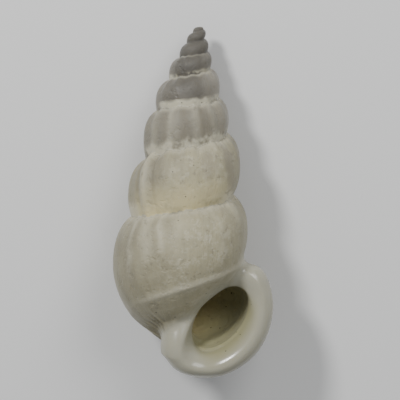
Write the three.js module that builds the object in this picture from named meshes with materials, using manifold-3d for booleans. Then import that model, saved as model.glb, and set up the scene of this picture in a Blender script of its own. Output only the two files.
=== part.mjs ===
// A wentletrap shell lying on its back with the mouth facing up.
//
// The shell is one piece: a tube that winds round an axis, growing as it goes, and ends in a thick round lip.
// It is drawn first in a frame of its own, with the axis along Y, the tip at the top, the lip on the right (+X)
// and the mouth facing the viewer (+Z). The whole piece is then turned to the pose in which it rests on a table.
// Units are millimetres. A place on the tube is given in turns: a whole number is on the right-hand side, and
// the tube passes the front, the left and the back on its way to the next whole number.

import * as THREE from "three";
import { mergeVertices } from "three/addons/utils/BufferGeometryUtils.js";
import Module from "manifold-3d";

const { degToRad, euclideanModulo, lerp, smoothstep } = THREE.MathUtils;

// Growth, with one entry for each whole turn
const FIRST_TURN = -1;
const WHORL_RADIUS = [0.2, 0.35, 0.58, 0.82, 1.32, 1.79, 2.42, 2.88, 3.5]; // from the axis to the widest point
const WHORL_DEPTH = [0.02, 0.16, 0.64, 1.21, 2.15, 3.45, 5.16, 7.98, 10.61]; // from the tip down to the shoulder
const LAST_TURN = 7.03;
const LIP_APPROACH = 6.65; // turn from which the tube changes its form towards the lip

// Section of a whorl, as shares of the whorl's radius
const SECTION_CENTRE = 0.24; // from the axis out to the section's middle
const SECTION_DROP = 0.51; // from the whorl's depth down to the section's middle
const SECTION_OUTER = 0.76;
const SECTION_INNER = 0.22;
const SECTION_UPPER = 0.757;
const SECTION_UPPER_AT_LIP = 0.42;
const SECTION_LOWER = 0.918;
const SHOULDER_POWER = 2.42; // over 2 makes a square shoulder
const BELLY_POWER = 1.89;
const LIP_FLARE = 0.06; // how much the section widens at the lip

// Ribs along the axis, strongest at the shoulder, as shares of the whorl's radius
const RIBS_PER_TURN = 12;
const RIB_PHASE = 20 / 360; // turn from a whole one to the next rib
const RIB_HEIGHT = 0.024;
const SHOULDER_RIB_HEIGHT = 0.03;
const SHOULDER_ANGLE = -0.9; // round the section from its widest point, in radians
const SHOULDER_WIDTH = 0.5;
const RIBS_START = 1.5; // turn at which they begin to rise

// The lower left of the last whorl is slimmer, as a share of the whorl's radius
const SLIM_TURN = 6.5;
const SLIM_TURNS = 0.2;
const SLIMMING = 0.03;

// The first whorls lean to the right of the axis and begin in a small bulb
const TIP_LEAN = 0.26;
const TIP_LEAN_DEPTH = 3.06;
const TIP_BULB = 0.19;

// Lip: a round ring about an oval mouth
const LIP_CENTRE = new THREE.Vector3(1.79, -13.28, 0.5);
const MOUTH_LONG = 1.74; // half of the oval's long way
const MOUTH_SHORT = 1.0;
const MOUTH_LEAN = degToRad(-35); // of the long way, from straight up
// Radius of the ring's own section, for every 30 degrees round the mouth from its outer side upward
const LIP_THICKNESS = [0.645, 0.585, 0.56, 0.66, 0.5, 0.34, 0.3, 0.44, 0.68, 0.64, 0.57, 0.62];

// Hollow inside the last whorls, as shares of the whorl's radius
const HOLLOW_START = 5.5; // turn at which it begins
const HOLLOW_END = 7.01;
const HOLLOW_CENTRE = 0.45;
const HOLLOW_DROP = 0.72;
const HOLLOW_LONG = 0.38;
const HOLLOW_SHORT = 0.25;

// Funnel from the lip down to the hollow: it opens towards the outer side and the foot of the mouth
const FUNNEL_LEVELS = [1.4, 0.7, 0.5, 0.25, 0, -0.4, -0.85]; // above the lip's middle
const FUNNEL_REACH = 0.3;
const FUNNEL_CURVE = 0.6;
const FUNNEL_SLOPE = 0.14;
const FUNNEL_LENGTHENING = 1.2;

// Cord round the base, which carries on the line of the suture
const CORD_START = 5.98; // turn
const CORD_END = 6.55;
const CORD_RADIUS = 0.16;
const CORD_RISE = 0.07; // how far it stands out of the base where it begins
const CORD_FADING = 0.6; // share of the rise that is lost by its end
const CORD_START_ANGLE = degToRad(22); // round the section
const CORD_END_ANGLE = degToRad(50);

// Pillar that the whorls wind round
const PILLAR_TOP = 0.4; // depth below the tip
const PILLAR_FOOT = 14.6;
const PILLAR_TOP_RADIUS = 0.02;
const PILLAR_FOOT_RADIUS = 0.55;

// Pose in which it rests
const REST_ROLL = degToRad(4.58); // about the axis
const REST_PITCH = degToRad(-10.41); // lowers the tip towards the table

// Facets
const FINE_STEPS = 36; // in a turn of the ribbed whorls
const COARSE_STEPS = 24; // in a turn of the first whorls
const FINE_FROM = 2; // turn
const PIECE = 0.5; // turns in one length of tube, so that no length meets itself
const SIDES = 14;
const CROWDING = 0.38; // draws the sides together on the outside of the whorl
const HOLLOW_SIDES = 14;
const HOLLOW_STEPS = 30;
const FUNNEL_SIDES = 30;
const CORD_SIDES = 8;
const CORD_STEPS = 28;
const LIP_SIDES = 10;
const LIP_STEPS = 36;
const PILLAR_SIDES = 10;
const PILLAR_STEPS = 12;

const wasm = await Module();
wasm.setup();

// A smooth curve through one value for each whole turn, carried on straight past the last
function throughTurns(values) {
  const points = values.map((value, i) => new THREE.Vector2(FIRST_TURN + i, value));
  const spline = new THREE.SplineCurve(points);
  const last = points[points.length - 1];
  const slope = last.y - points[points.length - 2].y;
  return (turn) => {
    const beyond = Math.max(0, turn - last.x);
    return spline.getPoint((turn - beyond - FIRST_TURN) / (last.x - FIRST_TURN)).y + beyond * slope;
  };
}

const whorlRadius = throughTurns(WHORL_RADIUS);
const whorlDepth = throughTurns(WHORL_DEPTH);

function lean(depth) {
  return TIP_LEAN * Math.max(0, 1 - depth / TIP_LEAN_DEPTH) ** 2;
}

// A point at the given turn, distance from the axis and depth below the tip
function onWhorl(turn, fromAxis, depth) {
  const bearing = 2 * Math.PI * turn;
  return new THREE.Vector3(fromAxis * Math.cos(bearing) + lean(depth), -depth, fromAxis * Math.sin(bearing));
}

// 0 on most of the shell, rising to 1 at the lip
function nearLip(turn) {
  return smoothstep(turn, LIP_APPROACH, LAST_TURN);
}

function flare(turn) {
  return 1 + LIP_FLARE * nearLip(turn) ** 2;
}

function ribs(turn, angle) {
  const onset = smoothstep(turn, RIBS_START, RIBS_START + 1);
  const wave = 0.5 * Math.cos(2 * Math.PI * RIBS_PER_TURN * (turn - RIB_PHASE));
  const shoulder = Math.exp(-(((angle - SHOULDER_ANGLE) / SHOULDER_WIDTH) ** 2));
  const slim = SLIMMING * Math.exp(-(((turn - SLIM_TURN) / SLIM_TURNS) ** 2)) * smoothstep(angle, -0.6, 0.9);
  return 1 + onset * wave * (RIB_HEIGHT + SHOULDER_RIB_HEIGHT * shoulder) - slim;
}

// Distance from a superellipse's middle to its edge, for half-widths of 1
function superellipse(c, s, power) {
  return (Math.abs(c) ** power + Math.abs(s) ** power) ** (-1 / power);
}

// A point of the tube's outside. side goes round the section: 0 points away from the axis and a quarter turn
// points at the base. reach is 1 on the surface and 0 at the section's middle.
function outside(turn, side, reach) {
  const angle = side - CROWDING * Math.sin(side);
  const c = Math.cos(angle);
  const s = Math.sin(angle);
  const power = c < 0 ? 2 : s < 0 ? SHOULDER_POWER : BELLY_POWER;
  const k = reach * superellipse(c, s, power) * ribs(turn, angle) * flare(turn);
  const wide = c < 0 ? SECTION_INNER : SECTION_OUTER;
  const upper = lerp(SECTION_UPPER, SECTION_UPPER_AT_LIP, nearLip(turn));
  const high = s < 0 ? upper : SECTION_LOWER;
  const radius = whorlRadius(turn);
  const depth = whorlDepth(turn) + radius * (SECTION_DROP + high * s * k);
  return onWhorl(turn, radius * (SECTION_CENTRE + wide * c * k), depth);
}

// A point of the hollow's wall
function inside(turn, side, reach) {
  const long = reach * flare(turn) * HOLLOW_LONG * Math.sin(side);
  const short = reach * HOLLOW_SHORT * Math.cos(side);
  const out = short * Math.cos(MOUTH_LEAN) + long * Math.sin(MOUTH_LEAN);
  const down = long * Math.cos(MOUTH_LEAN) - short * Math.sin(MOUTH_LEAN);
  const radius = whorlRadius(turn);
  return onWhorl(turn, radius * (HOLLOW_CENTRE + out), whorlDepth(turn) + radius * (HOLLOW_DROP + down));
}

// A point of the cord, a thin round tube sunk in the base
function cord(turn, side, reach) {
  const along = (turn - CORD_START) / (CORD_END - CORD_START);
  const angle = lerp(CORD_START_ANGLE, CORD_END_ANGLE, along);
  const c = Math.cos(angle);
  const s = Math.sin(angle);
  const k = superellipse(c, s, BELLY_POWER);
  const radius = whorlRadius(turn);
  const rise = CORD_RISE * (1 - CORD_FADING * along) - CORD_RADIUS;
  const fromAxis = radius * (SECTION_CENTRE + SECTION_OUTER * c * k) + rise * c;
  const depth = whorlDepth(turn) + radius * (SECTION_DROP + SECTION_LOWER * s * k) + rise * s;
  const thick = reach * CORD_RADIUS;
  return onWhorl(turn, fromAxis + thick * Math.cos(side), depth + thick * Math.sin(side));
}

// A closed tube from one turn to another, bent out of a capped cylinder
function tube(surface, from, to, sides, steps) {
  const geometry = new THREE.CylinderGeometry(1, 1, 1, sides, steps);
  const position = geometry.getAttribute("position");
  for (let i = 0; i < position.count; i++) {
    const [x, y, z] = [position.getX(i), position.getY(i), position.getZ(i)];
    const turn = lerp(from, to, 0.5 - y);
    position.setXYZ(i, ...surface(turn, Math.atan2(-z, x), Math.hypot(x, z)));
  }
  return solid(geometry);
}

function solid(geometry) {
  geometry.deleteAttribute("normal");
  geometry.deleteAttribute("uv");
  const merged = mergeVertices(geometry);
  return new wasm.Manifold(
    new wasm.Mesh({
      numProp: 3,
      vertProperties: merged.getAttribute("position").array,
      triVerts: Uint32Array.from(merged.index.array),
    }),
  );
}

// The biggest body: the sealed gaps and specks left where whorls meet are dropped
function largest(made) {
  return made.decompose().reduce((kept, next) => (next.volume() > kept.volume() ? next : kept));
}

function whorls() {
  const bulb = new THREE.SphereGeometry(TIP_BULB, 10, 8).translate(TIP_LEAN, -TIP_BULB, 0);
  const count = Math.round((LAST_TURN - FIRST_TURN) / PIECE);
  let all = solid(bulb);
  for (let i = 0; i < count; i++) {
    const from = FIRST_TURN + i * PIECE;
    const to = i === count - 1 ? LAST_TURN : from + PIECE;
    const steps = PIECE * (from < FINE_FROM ? COARSE_STEPS : FINE_STEPS);
    all = all.add(tube(outside, from, to, SIDES, steps));
  }
  return all;
}

// A slender cone that fills the axis and leans with the first whorls
function pillar() {
  const height = PILLAR_FOOT - PILLAR_TOP;
  const geometry = new THREE.CylinderGeometry(
    PILLAR_TOP_RADIUS,
    PILLAR_FOOT_RADIUS,
    height,
    PILLAR_SIDES,
    PILLAR_STEPS,
  );
  const position = geometry.getAttribute("position");
  for (let i = 0; i < position.count; i++) {
    const depth = PILLAR_TOP + height / 2 - position.getY(i);
    position.setXYZ(i, position.getX(i) + lean(depth), -depth, position.getZ(i));
  }
  return solid(geometry);
}

// A round ring whose own section is moved round the oval mouth
function lip() {
  const ringRadius = 2;
  const geometry = new THREE.TorusGeometry(ringRadius, 1, LIP_SIDES, LIP_STEPS);
  const position = geometry.getAttribute("position");
  const towards = new THREE.Vector3(0, 0, 1);
  const places = LIP_THICKNESS.map((value) => new THREE.Vector3(value, 0, 0));
  const thicknesses = new THREE.CatmullRomCurve3(places, true, "catmullrom");
  for (let i = 0; i < position.count; i++) {
    const [x, y, z] = [position.getX(i), position.getY(i), position.getZ(i)];
    const round = Math.atan2(y, x);
    const across = Math.hypot(x, y) - ringRadius;
    const thickness = thicknesses.getPoint(euclideanModulo(round / (2 * Math.PI), 1)).x;
    const wide = MOUTH_SHORT + thickness;
    const high = MOUTH_LONG + thickness;
    const outwards = new THREE.Vector3(Math.cos(round) / wide, Math.sin(round) / high, 0).normalize();
    const point = new THREE.Vector3(wide * Math.cos(round), high * Math.sin(round), 0);
    point.addScaledVector(outwards, across * thickness).addScaledVector(towards, z * thickness);
    point.applyAxisAngle(towards, MOUTH_LEAN).add(LIP_CENTRE);
    position.setXYZ(i, ...point);
  }
  return solid(geometry);
}

// The opening through the lip, an oval that widens on two sides as it rises
function funnel() {
  const geometry = new THREE.CylinderGeometry(1, 1, 1, FUNNEL_SIDES, FUNNEL_LEVELS.length - 1);
  const position = geometry.getAttribute("position");
  for (let i = 0; i < position.count; i++) {
    const [x, y, z] = [position.getX(i), position.getY(i), position.getZ(i)];
    const out = FUNNEL_LEVELS[Math.round((0.5 - y) * (FUNNEL_LEVELS.length - 1))];
    const level = Math.min(out, LIP_THICKNESS[0]);
    const wider = (FUNNEL_REACH * (Math.exp(level / FUNNEL_CURVE) - 1) + FUNNEL_SLOPE * level) / 2;
    const longer = FUNNEL_LENGTHENING * wider;
    const point = new THREE.Vector3(x * (MOUTH_SHORT + wider) + wider, -z * (MOUTH_LONG + longer) - longer, out);
    point.applyAxisAngle(new THREE.Vector3(0, 0, 1), MOUTH_LEAN).add(LIP_CENTRE);
    position.setXYZ(i, ...point);
  }
  return solid(geometry);
}

function shellGeometry() {
  const ridge = tube(cord, CORD_START, CORD_END, CORD_SIDES, CORD_STEPS);
  const hollow = tube(inside, HOLLOW_START, HOLLOW_END, HOLLOW_SIDES, HOLLOW_STEPS).add(funnel());
  const outer = largest(whorls().add(pillar()));
  const mesh = largest(outer.add(ridge).add(lip()).subtract(hollow)).getMesh();
  const geometry = new THREE.BufferGeometry();
  geometry.setAttribute("position", new THREE.BufferAttribute(mesh.vertProperties, 3));
  geometry.setIndex(new THREE.BufferAttribute(mesh.triVerts, 1));
  return geometry;
}

const porcelain = new THREE.MeshStandardMaterial({ color: 0xd9d3c1, roughness: 0.35, metalness: 0 });
const shell = new THREE.Mesh(shellGeometry(), porcelain);
shell.name = "shell";

// It lies on the backs of its last whorls, with the middle of its box's underside at the origin
shell.rotation.set(REST_PITCH, REST_ROLL, 0);
const box = new THREE.Box3().setFromObject(shell, true);
const middle = box.getCenter(new THREE.Vector3());
shell.position.set(-middle.x, -middle.y, -box.min.z);

const group = new THREE.Group();
group.add(shell);

export default group;
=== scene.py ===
# A wentletrap shell, lying on its back on a pale table.
#
# The shell is drawn in a frame of its own, in millimetres: the axis along Y with the tip at the top, the
# lip on the right (+X) and the mouth facing the viewer (+Z). Its surface is where a smooth field of
# distances is zero: the field joins the whorls, the pillar and the lip, and takes the hollow away. A place
# on the tube is given in turns: a whole number is on the right-hand side, and the tube passes the front,
# the left and the back on its way to the next whole number. Angles round a section are in radians: zero
# points away from the axis, less is towards the tip and more is towards the base.

import math

import bpy
import numpy as np
from mathutils import Matrix, Vector


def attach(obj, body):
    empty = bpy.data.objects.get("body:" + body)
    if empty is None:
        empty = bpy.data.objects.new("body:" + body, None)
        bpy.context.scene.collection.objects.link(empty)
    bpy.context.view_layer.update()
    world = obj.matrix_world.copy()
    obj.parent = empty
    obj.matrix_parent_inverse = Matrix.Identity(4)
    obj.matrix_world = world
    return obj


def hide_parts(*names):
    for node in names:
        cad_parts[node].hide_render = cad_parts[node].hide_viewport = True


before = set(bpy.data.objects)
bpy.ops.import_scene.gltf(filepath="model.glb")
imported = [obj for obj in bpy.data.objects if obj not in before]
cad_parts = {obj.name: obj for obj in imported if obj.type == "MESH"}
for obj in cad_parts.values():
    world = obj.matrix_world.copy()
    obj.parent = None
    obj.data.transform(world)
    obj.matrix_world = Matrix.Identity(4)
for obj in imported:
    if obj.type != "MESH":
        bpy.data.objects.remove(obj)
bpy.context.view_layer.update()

MM = 0.001

# Growth, with one entry for each whole turn
FIRST_TURN = -1
WHORL_RADIUS = [0.2, 0.35, 0.58, 0.82, 1.32, 1.79, 2.42, 2.88, 3.5]
WHORL_DEPTH = [0.02, 0.16, 0.64, 1.21, 2.15, 3.45, 5.16, 7.98, 10.61]
LAST_TURN = 7.03
LIP_APPROACH = 6.65

# Section of a whorl, as shares of the whorl's radius
SECTION_CENTRE = 0.24
SECTION_DROP = 0.51
SECTION_OUTER = 0.76
SECTION_INNER = 0.22
SECTION_UPPER = 0.757
SECTION_UPPER_AT_LIP = 0.42
SECTION_LOWER = 0.918
SHOULDER_POWER = 2.42
BELLY_POWER = 1.89
LIP_FLARE = 0.06
SUTURE_BLEND = 0.05

# Ribs along the axis
RIBS_PER_TURN = 12
RIB_PHASE = 20 / 360
RIB_HEIGHT = 0.02
SHOULDER_RIB_HEIGHT = 0.03
SHOULDER_ANGLE = -0.9
SHOULDER_WIDTH = 0.5
RIBS_START = 1.5
RIBS_FADING = (5.5, 6.0)  # turns between which they weaken
RIBS_LOSS = 0.65

# One strong rib with a groove on each side of it
STRONG_RIB_TURN = 5.383
STRONG_RIB_WIDTH = 0.013
STRONG_RIB_HEIGHT = 0.06
GROOVE_DEPTH = 0.45  # share of the rib's height
GROOVE_OFFSET = 2.1  # in widths of the rib
GROOVE_WIDTH = 0.7  # in widths of the rib

# Folds of the last three whorls: where, how wide and how strong
FOLDS = [
    (4.14, 0.014, 0.4), (4.219, 0.014, 0.4), (4.318, 0.012, 0.5), (4.4, 0.014, 0.3), (5.09, 0.014, 0.5),
    (5.15, 0.009, 0.4), (6.07, 0.016, 0.5), (6.15, 0.01, 0.7), (6.262, 0.016, 0.4), (6.3, 0.009, 1.0),
    (6.347, 0.02, 0.7), (6.395, 0.009, 1.0), (6.44, 0.012, 0.35), (6.5, 0.012, 0.7), (6.57, 0.012, 0.8),
    (6.63, 0.01, 0.5), (6.72, 0.014, 0.3), (6.79, 0.01, 0.3), (6.87, 0.014, 0.6),
]
FOLD_HEIGHT = 0.024  # millimetres
FOLD_FADING = (-0.2, 0.5)  # angles round the section between which they fade
GROWTH_SLANT = 0.018  # in turns, for each radian round the section

# Wrinkles along the upper rim of the last two whorls
RIM_WRINKLE = 0.04  # millimetres
RIM_ANGLE = -1.1
RIM_WIDTH = 0.3
RIM_START = (4.95, 5.05)  # turns between which they come in

# Places where a whorl is fuller or slimmer: the turn, the angle round its section and a share of its size
SWELLINGS = [
    (3.5, -0.2, 0.05), (4.5, 0.0, -0.02), (4.76, -0.3, -0.02), (5.76, 0.0, -0.03), (6.0, -0.9, 0.015),
    (6.31, 1.2, 0.05), (6.5, -1.0, 0.1), (6.76, -0.2, -0.035),
]
SWELLING_LENGTH = 0.1  # in turns
SWELLING_WIDTH = 0.5  # in radians

# Glassy panes: where they lie, how wide they are and how clear. The first two face the camera, so the paler
# glass round them along the outlines is partly painted light
PANES = [
    (2.29, 0.15, 1.0), (3.29, 0.155, 1.0), (4.178, 0.022, 0.8), (4.26, 0.028, 0.9), (4.355, 0.02, 0.9),
    (4.44, 0.03, 0.6), (5.337, 0.024, 0.45), (6.41, 0.05, 0.3),
]
PANE_ANGLE = -0.35
PANE_HEIGHT = 0.95

# Wear on the side that lies uppermost, in parts of a turn. The same mask makes that side paler and the
# sides greyer: partly real wear, partly painted light and painted shade
WORN_AND_LIT_SIDE = 0.2
WORN_AND_LIT_WIDTH = 0.11

# The first whorls lean to the right of the axis and begin in a small bulb
TIP_LEAN = 0.26
TIP_LEAN_DEPTH = 3.06
TIP_BULB = 0.19
BULB_BLEND = 0.05

# Mouth, and the lip with one thickness for each step round it, from its outer side upward
LIP_CENTRE = (1.79, -13.28, 0.5)
MOUTH_LONG = 1.74
MOUTH_SHORT = 1.0
MOUTH_LEAN = math.radians(-35)
LIP_STEP = math.radians(30)
LIP_THICKNESS = [0.645, 0.585, 0.56, 0.62, 0.5, 0.3, 0.22, 0.34, 0.65, 0.64, 0.57, 0.62]
LIP_BLEND = 0.45
INNER_BLEND = 0.9  # more, where the lip runs into the base
BLEND_SIDE = math.radians(195)

# How far the lip lies lower on its inner side and at its top
INNER_LOWERING = 0.14
INNER_SIDE = math.radians(165)
UPPER_LOWERING = 0.18
UPPER_SIDE = math.radians(80)

# Hollow inside the last whorls, as shares of the whorl's radius
HOLLOW_START = 5.5
HOLLOW_END = 7.01
HOLLOW_CENTRE = 0.45
HOLLOW_DROP = 0.72
HOLLOW_LONG = 0.38
HOLLOW_SHORT = 0.25
HOLLOW_LENGTHENING = 0.22  # share that it gains by the mouth
HOLLOW_WIDENING = 0.05
HOLLOW_SHIFT = 0.055  # how far it moves outward by the mouth

# How softly the hollow meets the funnel and the lip, in millimetres
HOLLOW_BLEND = 0.35
EDGE_BLEND = 0.07
OUTER_EDGE_BLEND = 0.3  # more, on the outer side
OUTER_EDGE_SIDE = math.radians(-35)

# Funnel from the lip down to the hollow: it opens towards the outer side and the foot of the mouth
THROAT_DEPTH = 0.6
THROAT_BLEND = 0.2
FUNNEL_TOP = 0.7
FUNNEL_REACH = 0.3
FUNNEL_CURVE = 0.6
FUNNEL_SLOPE = 0.14
FUNNEL_LENGTHENING = 1.2

# Cord round the base, with a hollowed band and fine lines below it
CORD_START = 5.98
CORD_END = 6.55
CORD_RISE = 0.065
CORD_WIDTH = 0.07
CORD_START_ANGLE = math.radians(22)
CORD_END_ANGLE = math.radians(50)
CORD_FADING = (6.3, 6.44)  # turns between which the cord and the band weaken
CORD_LOSS = 0.75
BAND_DEPTH = 0.08
BAND_OFFSET = 0.34
BAND_WIDTH = 0.2
LINES_START = 6.28
LINES_PER_TURN = 33
LINE_HEIGHT = 0.075
BASE_START = (5.8, 6.0)  # turns between which all of these come in
BASE_END = (6.55, 6.95)  # turns between which all of these go out

# The base is slimmer on the left
BASE_SLIMMING = 0.03
SLIM_TURN = 6.5
SLIM_LENGTH = 0.2
SLIM_ANGLES = (-0.6, 0.9)

# Low ridge that joins the base to the lip, from one end to the other
RIDGE_ENDS = ((-0.5, -12.9, 0.4), (-0.16, -14.34, 0.38))
RIDGE_RADIUS = 0.3
RIDGE_BLEND = 0.6

# Pillar that the whorls wind round
PILLAR_TOP_RADIUS = 0.02
PILLAR_TOP = 0.4
PILLAR_FOOT = 14.6
PILLAR_FOOT_RADIUS = 0.55
PILLAR_BLEND = 0.15

# Pose in which it rests, and where its tip then lies
REST_ROLL = math.radians(4.58)
REST_PITCH = math.radians(-10.41)
TIP_PLACE = (-0.5178, 7.7968, 1.2070)

# Photograph: millimetres a pixel, where the tip is, and how the axis leans
PIXEL = 16 / 350
TIP_PIXEL = (193.8, 27.0)
PICTURE_MIDDLE = 200
AXIS_LEAN = math.radians(2.6)
AXIS_DEPTH_LEAN = math.radians(3.0)
CAMERA_DISTANCE = 300.0
SENSOR_WIDTH = 36
PICTURE_SIZE = 400

# Dark specks of dirt, as pixels of the photograph, with their radius in millimetres
SPECK_REACH = 1.6  # how many pixels away the vertex that carries one may be
SPECKS = [
    ((178, 220), 0.03), ((206, 294), 0.03), ((232, 294), 0.045), ((226, 307), 0.035), ((251, 305), 0.022),
    ((156, 312), 0.035), ((175, 317), 0.035), ((211, 328), 0.032), ((220, 329), 0.035),
    ((236.5, 332), 0.025), ((239.5, 335), 0.025), ((225.5, 351), 0.03), ((173, 172), 0.028),
    ((194, 165.5), 0.025), ((181, 161), 0.025), ((186, 197), 0.03), ((182, 103), 0.03), ((202, 103), 0.03),
]

# Grid that the field is sampled on: cells shrink towards the tip
CELL = 0.082
TIP_CELL = 0.38  # share of the cell's size at the tip
FULL_CELL_DEPTH = 9.0
GRID_DEPTHS = (-0.3, 16.6)
GRID_ACROSS = (-3.95, 4.6)
GRID_TOWARDS = (-4.0, 3.95)


def through_turns(values):
    """A smooth curve through one value for each whole turn, carried on straight past the last."""
    knots = np.array([values[0]] + list(values) + [values[-1]])
    last = FIRST_TURN + len(values) - 1
    turns = np.linspace(FIRST_TURN, last, 1601)
    place = np.minimum((turns - FIRST_TURN).astype(int), len(values) - 2)
    f = turns - FIRST_TURN - place
    before, here, after, beyond = (knots[place + i] for i in range(4))
    start = (after - before) / 2
    end = (beyond - here) / 2
    curve = (2 * f**3 - 3 * f**2 + 1) * here + (f**3 - 2 * f**2 + f) * start
    curve = curve + (3 * f**2 - 2 * f**3) * after + (f**3 - f**2) * end
    turns = np.append(turns, last + 1)
    curve = np.append(curve, 2 * values[-1] - values[-2])
    return lambda turn: np.interp(turn, turns, curve)


whorl_radius = through_turns(WHORL_RADIUS)
whorl_depth = through_turns(WHORL_DEPTH)


def smoothstep(value, low, high):
    x = np.clip((value - low) / (high - low), 0, 1)
    return x * x * (3 - 2 * x)


def bump(value, middle, width):
    return np.exp(-(((value - middle) / width) ** 2))


def soft_min(a, b, blend):
    h = np.maximum(blend - np.abs(a - b), 0) / blend
    return np.minimum(a, b) - h * h * blend / 4


def lean(depth):
    return TIP_LEAN * np.maximum(0, 1 - depth / TIP_LEAN_DEPTH) ** 2


def near_lip(turn):
    return smoothstep(turn, LIP_APPROACH, LAST_TURN)


def flare(turn):
    return 1 + LIP_FLARE * near_lip(turn) ** 2


def cord_angle(turn):
    along = (turn - CORD_START) / (CORD_END - CORD_START)
    return CORD_START_ANGLE + (CORD_END_ANGLE - CORD_START_ANGLE) * along


def relief(turn, angle, radius):
    """How much the section swells at an angle round it, as a share of its size."""
    grown = turn + GROWTH_SLANT * angle
    wobble = 0.012 * np.sin(9.1 * turn) + 0.008 * np.sin(23.7 * turn + 1)
    wave = 0.5 * np.cos(2 * np.pi * RIBS_PER_TURN * (grown - RIB_PHASE + wobble))
    fade = smoothstep(turn, RIBS_START, RIBS_START + 1) * (1 - RIBS_LOSS * smoothstep(turn, *RIBS_FADING))
    shoulder = bump(angle, SHOULDER_ANGLE, SHOULDER_WIDTH)
    swell = fade * wave * (RIB_HEIGHT + SHOULDER_RIB_HEIGHT * shoulder)
    strong = bump(grown, STRONG_RIB_TURN, STRONG_RIB_WIDTH)
    swell = swell + STRONG_RIB_HEIGHT * (strong - GROOVE_DEPTH * beside_strong_rib(grown))
    swell = swell + FOLD_HEIGHT * folds(turn, angle) / radius
    for middle, at_angle, amount in SWELLINGS:
        swell = swell + amount * bump(turn, middle, SWELLING_LENGTH) * bump(angle, at_angle, SWELLING_WIDTH)
    rim = bump(angle, RIM_ANGLE, RIM_WIDTH) * smoothstep(turn, *RIM_START)
    swell = swell + RIM_WRINKLE * rim * np.sin(211 * turn + 3 * np.sin(37 * turn)) / radius
    slim = BASE_SLIMMING * bump(turn, SLIM_TURN, SLIM_LENGTH) * smoothstep(angle, *SLIM_ANGLES)
    return 1 + swell + base_relief(turn, angle) / radius - slim


def beside_strong_rib(grown):
    """Strength of the grooves beside the strong rib."""
    away = GROOVE_OFFSET * STRONG_RIB_WIDTH
    width = GROOVE_WIDTH * STRONG_RIB_WIDTH
    return bump(grown, STRONG_RIB_TURN - away, width) + bump(grown, STRONG_RIB_TURN + away, width)


def folds(turn, angle):
    """Strength of the folds, each of which strays a little from a straight run."""
    stray = 0.005 * np.sin(4.3 * angle + 29 * turn) + 0.003 * np.sin(9.7 * angle - 41 * turn)
    grown = turn + GROWTH_SLANT * angle + stray
    strengths = sum(strength * bump(grown, middle, width) for middle, width, strength in FOLDS)
    return strengths * (1 - smoothstep(angle, *FOLD_FADING))


def base_relief(turn, angle):
    """Height of the cord, the hollowed band and the lines below it, in millimetres."""
    below = angle - cord_angle(turn)
    shown = smoothstep(turn, *BASE_START) * (1 - smoothstep(turn, *BASE_END))
    worn = 1 - CORD_LOSS * smoothstep(turn, *CORD_FADING)
    cord = CORD_RISE * bump(below, 0, CORD_WIDTH)
    band = BAND_DEPTH * bump(below, BAND_OFFSET, BAND_WIDTH)
    return shown * ((cord - band) * worn + LINE_HEIGHT * base_lines(turn, below))


def base_lines(turn, below):
    """Height of the fine lines under the cord, from -1 to 1."""
    place = turn + 0.004 * np.sin(61 * turn) + 0.012 * below
    shown = smoothstep(below, 0.25, 0.6) * smoothstep(turn, LINES_START, LINES_START + 0.08)
    return np.cos(2 * np.pi * LINES_PER_TURN * place) * shown * (0.7 + 0.3 * np.sin(83 * turn))


def whorl(turn, r, depth):
    """Distance to one whorl's surface, and the angle round its section."""
    radius = whorl_radius(turn)
    across = r / radius - SECTION_CENTRE
    down = (depth - whorl_depth(turn)) / radius - SECTION_DROP
    from_middle = radius * np.hypot(across, down)
    upper = SECTION_UPPER + (SECTION_UPPER_AT_LIP - SECTION_UPPER) * near_lip(turn)
    u = np.where(across < 0, across / SECTION_INNER, across / SECTION_OUTER)
    v = np.where(down < 0, down / upper, down / SECTION_LOWER)
    power = np.where(u < 0, 2.0, np.where(v < 0, SHOULDER_POWER, BELLY_POWER))
    k = (np.abs(u) ** power + np.abs(v) ** power) ** (1 / power) + 1e-6
    angle = np.arctan2(v, u)
    return from_middle * (1 - relief(turn, angle, radius) * flare(turn) / k), angle


def whorls(x, y, z):
    """Distance to all whorls, the turn and angle at each point, and how much further the next whorl is."""
    depth = -y
    x = x - lean(depth)
    r = np.hypot(x, z)
    bearing = np.mod(np.arctan2(z, x) / (2 * np.pi), 1)
    first = np.full(r.shape, 9.0)
    second = first.copy()
    turn_at = np.zeros(r.shape)
    angle_at = np.zeros(r.shape)
    low, high = depth.min(), depth.max()
    for n in range(FIRST_TURN, math.ceil(LAST_TURN)):
        top = whorl_depth(n) - 0.4 * whorl_radius(n)
        bottom = whorl_depth(n + 1) + 1.6 * whorl_radius(n + 1)
        if high < top - 0.3 or low > bottom + 0.3:
            continue
        turn = np.minimum(bearing + n, LAST_TURN)
        distance, angle = whorl(turn, r, depth)
        past = r * np.sin(2 * np.pi * np.clip(bearing + n - LAST_TURN, 0, 0.25))
        distance = np.where(bearing + n > LAST_TURN, np.maximum(distance, past), distance)
        nearer = distance < first
        second = np.where(nearer, first, np.minimum(second, distance))
        turn_at = np.where(nearer, turn, turn_at)
        angle_at = np.where(nearer, angle, angle_at)
        first = np.where(nearer, distance, first)
    joined = soft_min(first, second, SUTURE_BLEND)
    bulb = np.sqrt((x + lean(depth) - TIP_LEAN) ** 2 + (depth - TIP_BULB) ** 2 + z**2) - TIP_BULB
    joined = soft_min(joined, bulb, BULB_BLEND)
    along = np.clip((depth - PILLAR_TOP) / (PILLAR_FOOT - PILLAR_TOP), 0, 1)
    pillar = r - (PILLAR_TOP_RADIUS + (PILLAR_FOOT_RADIUS - PILLAR_TOP_RADIUS) * along)
    pillar = np.maximum(pillar, np.maximum(depth - PILLAR_FOOT, PILLAR_TOP - depth))
    return soft_min(joined, pillar, PILLAR_BLEND), turn_at, angle_at, second - first


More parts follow.
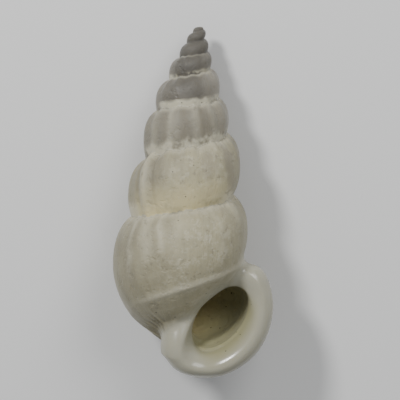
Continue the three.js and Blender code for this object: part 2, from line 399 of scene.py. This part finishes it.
def on_mouth(x, y, z):
    """Across, along and out of the mouth, and the angle round it."""
    x = x - LIP_CENTRE[0]
    y = y - LIP_CENTRE[1]
    u = x * math.cos(MOUTH_LEAN) + y * math.sin(MOUTH_LEAN)
    v = y * math.cos(MOUTH_LEAN) - x * math.sin(MOUTH_LEAN)
    around = np.arctan2(v / (MOUTH_LONG + LIP_THICKNESS[3]), u / (MOUTH_SHORT + LIP_THICKNESS[0]))
    return u, v, z - LIP_CENTRE[2], around


def past_ellipse(u, v, wide, high):
    """Distance outside an ellipse, or less than zero inside it."""
    rho = np.hypot(u / wide, v / high) + 1e-6
    slope = np.hypot(u / wide**2, v / high**2) / rho + 1e-6
    return (rho - 1) / slope


def lip(u, v, out, around):
    """Distance to the ring round the mouth."""
    place = np.mod(around / LIP_STEP, len(LIP_THICKNESS))
    here = place.astype(int) % len(LIP_THICKNESS)
    f = place - np.floor(place)
    table = np.array(LIP_THICKNESS)
    before, start, end, after = (table[(here + i) % len(table)] for i in (-1, 0, 1, 2))
    thickness = start + 0.5 * f * (end - before)
    thickness = thickness + 0.5 * f**2 * (2 * before - 5 * start + 4 * end - after)
    thickness = thickness + 0.5 * f**3 * (3 * start - before - 3 * end + after)
    out = out + INNER_LOWERING * np.maximum(0, np.cos(around - INNER_SIDE))
    out = out + UPPER_LOWERING * np.maximum(0, np.cos(around - UPPER_SIDE)) ** 2
    return np.hypot(past_ellipse(u, v, MOUTH_SHORT + thickness, MOUTH_LONG + thickness), out) - thickness


def ridge(x, y, z):
    """Distance to the low ridge between the base and the lip."""
    start, end = (np.array(point) for point in RIDGE_ENDS)
    run = end - start
    share = ((x - start[0]) * run[0] + (y - start[1]) * run[1] + (z - start[2]) * run[2]) / (run @ run)
    share = np.clip(share, 0, 1)
    away = [value - start[axis] - share * run[axis] for axis, value in enumerate((x, y, z))]
    return np.sqrt(away[0] ** 2 + away[1] ** 2 + away[2] ** 2) - RIDGE_RADIUS


def hollow(x, y, z):
    """Distance to the hollow's wall, and how far back from the mouth the point lies, in turns."""
    r = np.hypot(x, z)
    bearing = np.mod(np.arctan2(z, x) / (2 * np.pi), 1)
    nearest = np.full(r.shape, 9.0)
    turn_at = np.full(r.shape, HOLLOW_END)
    for n in range(math.floor(HOLLOW_START), math.ceil(HOLLOW_END)):
        turn = np.clip(bearing + n, HOLLOW_START, HOLLOW_END)
        radius = whorl_radius(turn)
        out = r / radius - HOLLOW_CENTRE - HOLLOW_SHIFT * near_lip(turn)
        down = (-y - whorl_depth(turn)) / radius - HOLLOW_DROP
        short = (out * math.cos(MOUTH_LEAN) - down * math.sin(MOUTH_LEAN)) / HOLLOW_SHORT
        short = short / (1 + HOLLOW_WIDENING * near_lip(turn))
        long = (out * math.sin(MOUTH_LEAN) + down * math.cos(MOUTH_LEAN)) / HOLLOW_LONG
        long = long / (1 + HOLLOW_LENGTHENING * near_lip(turn))
        k = np.hypot(short, long) + 1e-6
        distance = radius * np.hypot(out, down) * (1 - 1 / k)
        past = r * np.sin(2 * np.pi * np.clip(np.abs(bearing + n - turn), 0, 0.25))
        distance = np.maximum(distance, past)
        turn_at = np.where(distance < nearest, turn, turn_at)
        nearest = np.minimum(nearest, distance)
    return nearest, turn_at


def throat(u, v, out):
    """Distance to the wall of the opening that joins the mouth to the hollow."""
    level = np.clip(out, -THROAT_DEPTH, FUNNEL_TOP)
    wider = (FUNNEL_REACH * (np.exp(level / FUNNEL_CURVE) - 1) + FUNNEL_SLOPE * level) / 2
    longer = FUNNEL_LENGTHENING * wider
    wall = past_ellipse(u - wider, v + longer, MOUTH_SHORT + wider, MOUTH_LONG + longer)
    return -soft_min(-wall, out + THROAT_DEPTH, THROAT_BLEND)


def field(x, y, z):
    """Distance to the whole shell's surface, less than zero inside its wall."""
    u, v, out, around = on_mouth(x, y, z)
    inner = np.maximum(0, np.cos(around - BLEND_SIDE))
    outside = soft_min(whorls(x, y, z)[0], lip(u, v, out, around), LIP_BLEND + INNER_BLEND * inner)
    outside = soft_min(outside, ridge(x, y, z), RIDGE_BLEND)
    cavity = soft_min(hollow(x, y, z)[0], throat(u, v, out), HOLLOW_BLEND)
    edge = EDGE_BLEND + OUTER_EDGE_BLEND * np.maximum(0, np.cos(around - OUTER_EDGE_SIDE))
    return -soft_min(-outside, cavity, edge)


def cell_scale(depth):
    return np.clip(TIP_CELL + (1 - TIP_CELL) * depth / FULL_CELL_DEPTH, TIP_CELL, 1)


def sample_field():
    """The field on a grid that narrows towards the tip."""
    start, end = GRID_DEPTHS
    depths = [start]
    while depths[-1] < end:
        depths.append(depths[-1] + CELL * float(cell_scale(depths[-1])))
    depths = np.array(depths)
    across = np.arange(*GRID_ACROSS, CELL)
    towards = np.arange(*GRID_TOWARDS, CELL)
    values = np.empty((len(depths), len(across), len(towards)), np.float32)
    for i, depth in enumerate(depths):
        scale = cell_scale(depth)
        x, z = np.meshgrid(across * scale + lean(depth), towards * scale, indexing="ij")
        values[i] = field(x, np.full(x.shape, -depth), z)
    return depths, across, towards, values


def surface_nets(depths, across, towards, values):
    """One vertex in each cell that the surface crosses, and one quad for each grid edge it crosses."""
    inside = values < 0
    corners = [(a, b, c) for a in (0, 1) for b in (0, 1) for c in (0, 1)]
    shape = [n - 1 for n in values.shape]
    count = np.zeros(shape, np.int8)
    for a, b, c in corners:
        count += inside[a:a + shape[0], b:b + shape[1], c:c + shape[2]]
    cells = np.argwhere((count > 0) & (count < 8))
    number = np.full(shape, -1, np.int32)
    number[tuple(cells.T)] = np.arange(len(cells))
    total = np.zeros((len(cells), 3))
    hits = np.zeros(len(cells))
    for start in corners:
        for axis in range(3):
            if start[axis]:
                continue
            end = list(start)
            end[axis] = 1
            a = values[tuple((cells + start).T)]
            b = values[tuple((cells + end).T)]
            crossed = (a < 0) != (b < 0)
            share = np.where(crossed, a / np.where(crossed, a - b, 1), 0)
            point = np.array(start, float) + np.outer(share, np.array(end) - start)
            total += point * crossed[:, None]
            hits += crossed
    place = cells + total / hits[:, None]
    depth = np.interp(place[:, 0], np.arange(len(depths)), depths)
    scale = cell_scale(depth)
    x = (across[0] + CELL * place[:, 1]) * scale + lean(depth)
    z = (towards[0] + CELL * place[:, 2]) * scale
    quads = []
    for axis in range(3):
        step = np.eye(3, dtype=int)[axis]
        one, two = np.eye(3, dtype=int)[(axis + 1) % 3], np.eye(3, dtype=int)[(axis + 2) % 3]
        n = values.shape
        here = inside[:n[0] - step[0], :n[1] - step[1], :n[2] - step[2]]
        there = inside[step[0]:, step[1]:, step[2]:]
        for leaving in (True, False):
            edges = np.argwhere((here & ~there) if leaving else (~here & there))
            ring = [edges - one - two, edges - two, edges, edges - one]
            if leaving:
                ring.reverse()
            quads.append(np.stack([number[tuple(cell.T)] for cell in ring], axis=1))
    return np.stack([x, -depth, z], axis=1), np.concatenate(quads)


def slope_of(points):
    step = 0.004
    gradient = np.empty_like(points)
    for axis in range(3):
        offset = np.zeros(3)
        offset[axis] = step
        ahead = field(*(points + offset).T)
        behind = field(*(points - offset).T)
        gradient[:, axis] = (ahead - behind) / (2 * step)
    return gradient


def settle(points, quads):
    """Evens the quads out, then moves every vertex onto the surface."""
    for smoothing in (0.5, 0.3, 0):
        if smoothing:
            total = np.zeros_like(points)
            count = np.zeros(len(points))
            for side in range(4):
                np.add.at(total, quads[:, side], points[quads[:, (side + 1) % 4]])
                np.add.at(total, quads[:, side], points[quads[:, (side + 3) % 4]])
                np.add.at(count, quads[:, side], 2)
            points = points + smoothing * (total / count[:, None] - points)
        gradient = slope_of(points)
        length = np.maximum((gradient**2).sum(1), 0.25)
        move = -field(*points.T)[:, None] * gradient / length[:, None]
        reach = np.maximum(np.linalg.norm(move, axis=1) / (0.7 * CELL), 1)
        points = points + move / reach[:, None]
    return points


def biggest_body(points, quads):
    """Leaves out stray pockets that don't touch the shell's own surface."""
    label = np.arange(len(points))
    while True:
        lowest = label[quads].min(1)
        new = label.copy()
        for side in range(4):
            np.minimum.at(new, quads[:, side], lowest)
        new = new[new]
        if (new == label).all():
            break
        label = new
    names, sizes = np.unique(label, return_counts=True)
    kept = label == names[sizes.argmax()]
    order = np.cumsum(kept) - 1
    quads = quads[kept[quads[:, 0]]]
    return points[kept], order[quads]


def resting():
    """From the drawn frame, in millimetres, to the table, in metres."""
    turned = Matrix.Rotation(REST_PITCH, 4, "X") @ Matrix.Rotation(REST_ROLL, 4, "Y")
    return Matrix.Scale(MM, 4) @ Matrix.Translation(TIP_PLACE) @ turned


def to_picture(points):
    """Pixels of the photograph, and how near to the camera, for points in the drawn frame."""
    x, y, z = points.T
    up = y * math.cos(AXIS_DEPTH_LEAN) - z * math.sin(AXIS_DEPTH_LEAN)
    near = y * math.sin(AXIS_DEPTH_LEAN) + z * math.cos(AXIS_DEPTH_LEAN)
    right = x * math.cos(AXIS_LEAN) + up * math.sin(AXIS_LEAN)
    up = up * math.cos(AXIS_LEAN) - x * math.sin(AXIS_LEAN)
    return TIP_PIXEL[0] + right / PIXEL, TIP_PIXEL[1] - up / PIXEL, near


def surface_marks(points):
    """What the material reads at each vertex: its place, and how strong each feature is there."""
    x, y, z = points.T
    joined, turn, angle, gap = whorls(x, y, z)
    grown = turn + GROWTH_SLANT * angle
    seam = np.exp(-gap / (0.12 * whorl_radius(turn)))
    panes = sum(clear * np.exp(-(((grown - middle) / width) ** 4)) for middle, width, clear in PANES)
    # The base
    below = angle - cord_angle(turn)
    on_base = smoothstep(turn, 5.85, 5.95)
    cord = bump(below, 0, 1.2 * CORD_WIDTH) * (1 - 0.8 * smoothstep(turn, 6.3, 6.42))
    band = bump(below, BAND_OFFSET, 1.5 * BAND_WIDTH) * (1 - 0.6 * smoothstep(turn, 6.25, 6.45))
    # The lip and the mouth
    u, v, out, around = on_mouth(x, y, z)
    ring = smoothstep(joined - lip(u, v, out, around), -0.9, 0.35)
    edge = 1 - smoothstep(past_ellipse(u, v, MOUTH_SHORT, MOUTH_LONG), 0.1, 0.5)
    edge = edge * smoothstep(out, -0.4, -0.1)
    wall, back = hollow(x, y, z)
    back = (HOLLOW_END - back) * smoothstep(-out, 0.05, 0.45)
    wall = np.minimum(wall, throat(u, v, out))
    # How far into the mouth a point lies; the material darkens the walls with it as painted shade
    inward_painted_shade = np.maximum(smoothstep(0.5 * np.clip(u, -1, 1) - out, -0.25, 0.4), smoothstep(back, 0.1, 0.3))
    return {
        "turn": turn,
        "across": angle,
        "lower_seam": seam * (angle > 0),
        "upper_seam": seam * (angle <= 0),
        "lip": np.maximum(ring, edge),
        # Inner walls of the mouth, where the material paints shade and a warm tint
        "inside": (1 - smoothstep(wall, 0.05, 0.3)) * inward_painted_shade,
        "back": back,
        "fold": np.clip(folds(turn, angle), 0, 1),
        "strong": bump(grown, STRONG_RIB_TURN, STRONG_RIB_WIDTH),
        # Worn side, which the material also paints paler as painted light, leaving the sides in painted
        # shade
        "worn": bump(np.mod(turn, 1), WORN_AND_LIT_SIDE, WORN_AND_LIT_WIDTH) * (1 - seam),
        "pane": panes * np.exp(-(((angle - PANE_ANGLE) / PANE_HEIGHT) ** 4)),
        # Band under the cord, painted paler as painted light on the shaded base
        "cord": on_base * cord,
        "band": on_base * band,
        "groove": on_base * np.clip(-base_lines(turn, below), 0, 1) + 0.5 * beside_strong_rib(grown),
    }


def make_shell():
    """The shell, its vertices in the drawn frame, and the same where it rests."""
    points, quads = surface_nets(*sample_field())
    points, quads = biggest_body(points, quads)
    points = settle(points, quads)
    mesh = bpy.data.meshes.new("wentletrap_shell")
    placed = points @ np.array(resting().to_3x3()).T + np.array(resting().translation)
    mesh.from_pydata(placed.tolist(), [], quads.tolist())
    mesh.shade_smooth()
    for name, values in surface_marks(points).items():
        layer = mesh.attributes.new(name, "FLOAT", "POINT")
        layer.data.foreach_set("value", values.astype(np.float32))
    shell = bpy.data.objects.new("wentletrap_shell", mesh)
    bpy.context.collection.objects.link(shell)
    return shell, points, placed


def speck_places(points, placed):
    """Where each speck of the photograph lies on the side of the surface that the camera sees."""
    across, down, near = to_picture(points)
    places = []
    for (px, py), size in SPECKS:
        off = np.hypot(across - px, down - py)
        best = np.argmax(np.where(off < SPECK_REACH, near - 0.3 * off, -99))
        places.append((placed[best], size * MM))
    return places


class Nodes:
    """Makes a material's nodes from short calls."""

    def __init__(self, material):
        self.tree = material.node_tree

    def plug(self, socket, value):
        if isinstance(value, bpy.types.NodeSocket):
            self.tree.links.new(value, socket)
        else:
            socket.default_value = value

    def mark(self, name):
        node = self.tree.nodes.new("ShaderNodeAttribute")
        node.attribute_type = "GEOMETRY"
        node.attribute_name = name
        return node.outputs["Fac"]

    def math(self, operation, *values):
        node = self.tree.nodes.new("ShaderNodeMath")
        node.operation = operation
        for socket, value in zip(node.inputs, values):
            self.plug(socket, value)
        return node.outputs[0]

    def times(self, first, *others):
        """The product of all the values."""
        for other in others:
            first = self.math("MULTIPLY", first, other)
        return first

    def span(self, value, low, high, out_low=0.0, out_high=1.0, kind="SMOOTHSTEP"):
        node = self.tree.nodes.new("ShaderNodeMapRange")
        node.interpolation_type = kind
        for socket, number in zip(node.inputs, (value, low, high, out_low, out_high)):
            self.plug(socket, number)
        return node.outputs[0]

    def mix(self, share, first, second):
        node = self.tree.nodes.new("ShaderNodeMix")
        node.data_type = "RGBA"
        self.plug(node.inputs["Factor"], share)
        self.plug(node.inputs[6], first)
        self.plug(node.inputs[7], second)
        return node.outputs[2]

    def vector(self, *values):
        node = self.tree.nodes.new("ShaderNodeCombineXYZ")
        for socket, value in zip(node.inputs, values):
            self.plug(socket, value)
        return node.outputs[0]

    def noise(self, place, scale, detail=3.0, roughness=0.55):
        node = self.tree.nodes.new("ShaderNodeTexNoise")
        self.plug(node.inputs["Vector"], place)
        node.inputs["Scale"].default_value = scale
        node.inputs["Detail"].default_value = detail
        node.inputs["Roughness"].default_value = roughness
        return node.outputs["Fac"]

    def distance(self, place, point):
        node = self.tree.nodes.new("ShaderNodeVectorMath")
        node.operation = "DISTANCE"
        self.plug(node.inputs[0], place)
        node.inputs[1].default_value = point
        return node.outputs["Value"]


CREAM = (0.385, 0.354, 0.233, 1)
# Grey of the sides: partly their glassy tone, partly painted shade
GREY = (0.25, 0.228, 0.152, 1)
MILK = (0.235, 0.22, 0.177, 1)
CHALK = (0.52, 0.49, 0.37, 1)
GREY_GLASS = (0.095, 0.087, 0.07, 1)
# Paler glass round the panes: partly its own tone, partly painted light along the outlines
GLASS_AND_PAINTED_RIM_LIGHT = (0.25, 0.23, 0.185, 1)
TIP_GLASS = (0.035, 0.032, 0.027, 1)
GAP = (0.24, 0.215, 0.155, 1)
PANE = (0.145, 0.132, 0.102, 1)
GROOVE = (0.16, 0.14, 0.1, 1)
STAIN = (0.60, 0.53, 0.30, 1)
PORCELAIN = (0.37, 0.357, 0.277, 1)
# Inner walls of the mouth darkened as painted shade, and a pale warm tint deeper in, partly painted light
SHADED_INNER_WALL = (0.3, 0.285, 0.165, 1)
DEEP_TINT_AND_PAINTED_LIGHT = (0.85, 0.72, 0.36, 1)
DIRT = (0.02, 0.015, 0.01, 1)


def shell_material(specks):
    material = bpy.data.materials.new("shell_surface")
    material.use_nodes = True
    n = Nodes(material)
    turn = n.mark("turn")
    across = n.mark("across")
    lower = n.mark("lower_seam")
    upper = n.mark("upper_seam")
    ring = n.mark("lip")
    inside = n.mark("inside")
    back = n.mark("back")
    worn = n.mark("worn")
    coordinates = n.tree.nodes.new("ShaderNodeTexCoord")
    place = coordinates.outputs["Object"]

    # Streaks that run along the axis, soft clouds, and the ribs
    grown = n.math("ADD", turn, n.times(across, GROWTH_SLANT))
    streaks = n.noise(n.vector(n.times(grown, 34.0), n.times(across, 1.1), 0.0), 1.0, 4.0, 0.6)
    clouds = n.noise(place, 700.0, 4.0, 0.6)
    rib_place = n.math("SUBTRACT", grown, RIB_PHASE)
    ribs = n.math("COSINE", n.times(rib_place, 2 * math.pi * RIBS_PER_TURN))

    # Cream where it is worn, greyer at the sides, with lighter folds and chalky patches. The paler front
    # and greyer sides are partly real wear and glass, partly painted light and painted shade
    cream = n.math("ADD", n.times(worn, 0.75), n.span(streaks, 0.35, 0.65, 0.0, 0.45))
    cream = n.times(cream, n.span(turn, 4.3, 5.2, 0.2, 1.0), n.span(clouds, 0.25, 0.6, 0.55, 1.0))
    colour = n.mix(cream, GREY, CREAM)
    colour = n.mix(n.span(turn, 4.75, 5.1, 0.7, 0.0), colour, MILK)
    fold = n.times(n.mark("fold"), n.span(clouds, 0.35, 0.6, 0.0, 0.6))
    colour = n.mix(n.math("MAXIMUM", fold, n.times(n.mark("strong"), 0.5)), colour, CHALK)
    chalky = n.times(worn, n.span(n.noise(place, 2600.0, 6.0, 0.75), 0.5, 0.6))
    chalky = n.times(chalky, n.span(turn, 4.4, 5.1, 0.2, 1.0), 0.5)
    colour = n.mix(chalky, colour, CHALK)

    # Darker gaps between the ribs
    gaps = n.math("ADD", ribs, n.span(clouds, 0.3, 0.7, -1.0, 1.0, "LINEAR"))
    gaps = n.times(n.span(gaps, -1.0, 0.3, 0.9, 0.0), n.span(turn, 5.0, 5.3, 1.0, 0.3))
    gaps = n.times(gaps, n.span(across, -1.3, -0.6), n.span(across, 0.2, 0.8, 1.0, 0.0))
    gaps = n.times(gaps, n.span(turn, 5.9, 6.0, 1.0, 0.0))
    colour = n.mix(gaps, colour, GAP)

    # Glassy first whorls and panes, with chalky patches along the seams. The paler glass round the panes is
    # partly its own tone and partly painted light along the outlines
    glass = n.span(n.math("ADD", turn, n.times(clouds, 0.3)), 4.05, 4.35, 1.0, 0.0)
    pane = n.times(n.mark("pane"), n.span(clouds, 0.3, 0.65, 1.0, 0.75))
    colour = n.mix(n.times(pane, 0.7), colour, PANE)
    clear = n.mix(pane, GLASS_AND_PAINTED_RIM_LIGHT, GREY_GLASS)
    clear = n.mix(n.span(turn, 1.5, 3.0, 0.7, 0.0), clear, TIP_GLASS)
    colour = n.mix(glass, colour, clear)
    patches = n.times(n.span(lower, 0.06, 0.3), n.span(clouds, 0.44, 0.56), n.span(turn, 1.9, 2.3))
    rims = n.times(n.span(upper, 0.2, 0.7), n.span(turn, 1.9, 2.5, 0.0, 0.5))
    colour = n.mix(n.math("MAXIMUM", patches, rims), colour, CHALK)

    # Paler band and dark grooves under the cord, a dark line along the seams, and the paler cord. The
    # band's paleness is painted light that lifts the shade on the base
    colour = n.mix(n.times(n.mark("band"), 0.5), colour, CREAM)
    colour = n.mix(n.times(n.mark("groove"), 0.5), colour, GROOVE)
    colour = n.mix(n.times(n.span(upper, 0.8, 0.97), 0.5), colour, GROOVE)
    colour = n.mix(n.times(n.mark("cord"), 0.6), colour, CHALK)

    # A yellow stain low on the last whorl but one
    stain = n.times(n.span(turn, 5.02, 5.2), n.span(turn, 5.36, 5.5, 1.0, 0.0))
    stain = n.times(stain, n.span(across, -0.3, 0.5), n.span(clouds, 0.3, 0.6, 0.4, 1.0))
    colour = n.mix(stain, colour, STAIN)

    # Lip and mouth. The inner walls are darkened inward with an olive tint, as painted shade; deeper in, a
    # pale warm tint is partly the inside's own colour and partly painted light that lifts the shadow there
    colour = n.mix(ring, colour, PORCELAIN)
    colour = n.mix(inside, colour, SHADED_INNER_WALL)
    colour = n.mix(n.times(inside, n.span(back, 0.05, 0.35)), colour, DEEP_TINT_AND_PAINTED_LIGHT)

    # Smudges, and the dark specks
    smudges = n.span(n.noise(place, 2400.0, 4.0, 0.7), 0.33, 0.4, 0.45, 0.0)
    colour = n.mix(n.times(smudges, n.span(ring, 0.0, 0.4, 1.0, 0.0)), colour, GROOVE)
    dirt = 0.0
    for point, size in specks:
        near = n.span(n.distance(place, point), 0.7 * size, 1.2 * size, 1.0, 0.0)
        dirt = n.math("MAXIMUM", near, dirt)
    colour = n.mix(n.times(dirt, 0.85), colour, DIRT)

    # Glossy lip and mouth, satin glass and duller wear
    gloss = n.math("MAXIMUM", ring, inside)
    roughness = n.span(gloss, 0.0, 1.0, 0.55, 0.18)
    roughness = n.math("ADD", roughness, n.times(worn, 0.15))
    roughness = n.math("SUBTRACT", roughness, n.times(glass, 0.12))

    # Growth lines, grain and small pits
    lines = n.noise(n.vector(n.times(turn, 260.0), n.times(across, 3.0), 0.0), 1.0, 2.0)
    grain = n.noise(place, 6000.0, 3.0)
    pits = n.span(n.noise(place, 3200.0, 2.0), 0.25, 0.45, 0.0, 0.6)
    height = n.math("ADD", n.times(lines, 0.5), n.times(grain, 0.5))
    height = n.times(n.math("ADD", height, pits), n.span(gloss, 0.0, 0.6, 1.0, 0.04))
    fine_relief = n.tree.nodes.new("ShaderNodeBump")
    fine_relief.inputs["Distance"].default_value = 0.05 * MM
    fine_relief.inputs["Strength"].default_value = 0.7
    n.plug(fine_relief.inputs["Height"], height)

    surface = n.tree.nodes["Principled BSDF"]
    n.plug(surface.inputs["Base Color"], colour)
    n.plug(surface.inputs["Roughness"], roughness)
    n.plug(surface.inputs["Normal"], fine_relief.outputs["Normal"])
    surface.inputs["IOR"].default_value = 1.5
    surface.inputs["Subsurface Weight"].default_value = 0.3
    surface.inputs["Subsurface Radius"].default_value = (1.0, 0.85, 0.6)
    surface.inputs["Subsurface Scale"].default_value = 0.0004
    surface.inputs["Sheen Weight"].default_value = 0.12
    surface.inputs["Sheen Roughness"].default_value = 0.4
    return material


def make_floor():
    half = 0.25
    mesh = bpy.data.meshes.new("table")
    corners = [(-half, -half, 0), (half, -half, 0), (half, half, 0), (-half, half, 0)]
    mesh.from_pydata(corners, [], [(0, 1, 2, 3)])
    floor = bpy.data.objects.new("table", mesh)
    bpy.context.collection.objects.link(floor)
    material = bpy.data.materials.new("pale_table")
    material.use_nodes = True
    surface = material.node_tree.nodes["Principled BSDF"]
    surface.inputs["Base Color"].default_value = (0.8, 0.8, 0.79, 1)
    surface.inputs["Roughness"].default_value = 0.8
    mesh.materials.append(material)


def make_camera():
    """Looks at the shell as the photograph does."""
    view = Matrix.Rotation(-AXIS_LEAN, 4, "Z") @ Matrix.Rotation(AXIS_DEPTH_LEAN, 4, "X")
    off = Vector(((PICTURE_MIDDLE - TIP_PIXEL[0]) * PIXEL, (TIP_PIXEL[1] - PICTURE_MIDDLE) * PIXEL, 0))
    seat = view.inverted() @ Matrix.Translation(off + Vector((0, 0, CAMERA_DISTANCE)))
    world = resting() @ seat
    data = bpy.data.cameras.new("camera")
    data.sensor_width = SENSOR_WIDTH
    data.lens = SENSOR_WIDTH * CAMERA_DISTANCE / (PICTURE_SIZE * PIXEL)
    data.clip_start = 0.01
    data.clip_end = 10
    camera = bpy.data.objects.new("camera", data)
    camera.matrix_world = Matrix.Translation(world.translation) @ world.to_quaternion().to_matrix().to_4x4()
    bpy.context.collection.objects.link(camera)
    bpy.context.scene.camera = camera
    return camera


def make_light(name, camera, direction, distance, size, power):
    """An area light placed by a direction seen from the camera: right, up and towards it."""
    data = bpy.data.lights.new(name, "AREA")
    data.shape = "DISK"
    data.size = size
    data.energy = power
    light = bpy.data.objects.new(name, data)
    away = (camera.matrix_world.to_3x3() @ Vector(direction)).normalized()
    target = Vector((0, 0, 0.003))
    light.location = target + away * distance
    light.rotation_euler = away.to_track_quat("Z", "Y").to_euler()
    bpy.context.collection.objects.link(light)


def make_world():
    world = bpy.data.worlds.new("studio")
    bpy.context.scene.world = world
    world.use_nodes = True
    background = world.node_tree.nodes["Background"]
    background.inputs["Color"].default_value = (0.9, 0.92, 0.95, 1)
    background.inputs["Strength"].default_value = 0.35


shell, drawn_points, placed_points = make_shell()
shell.data.materials.append(shell_material(speck_places(drawn_points, placed_points)))
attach(shell, "root")
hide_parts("shell")
make_floor()
camera = make_camera()
make_light("key", camera, direction=(-0.5, 0.48, 0.82), distance=0.12, size=0.022, power=0.105)
make_light("fill", camera, direction=(0.35, 0.5, 0.9), distance=0.12, size=0.06, power=0.06)
make_world()
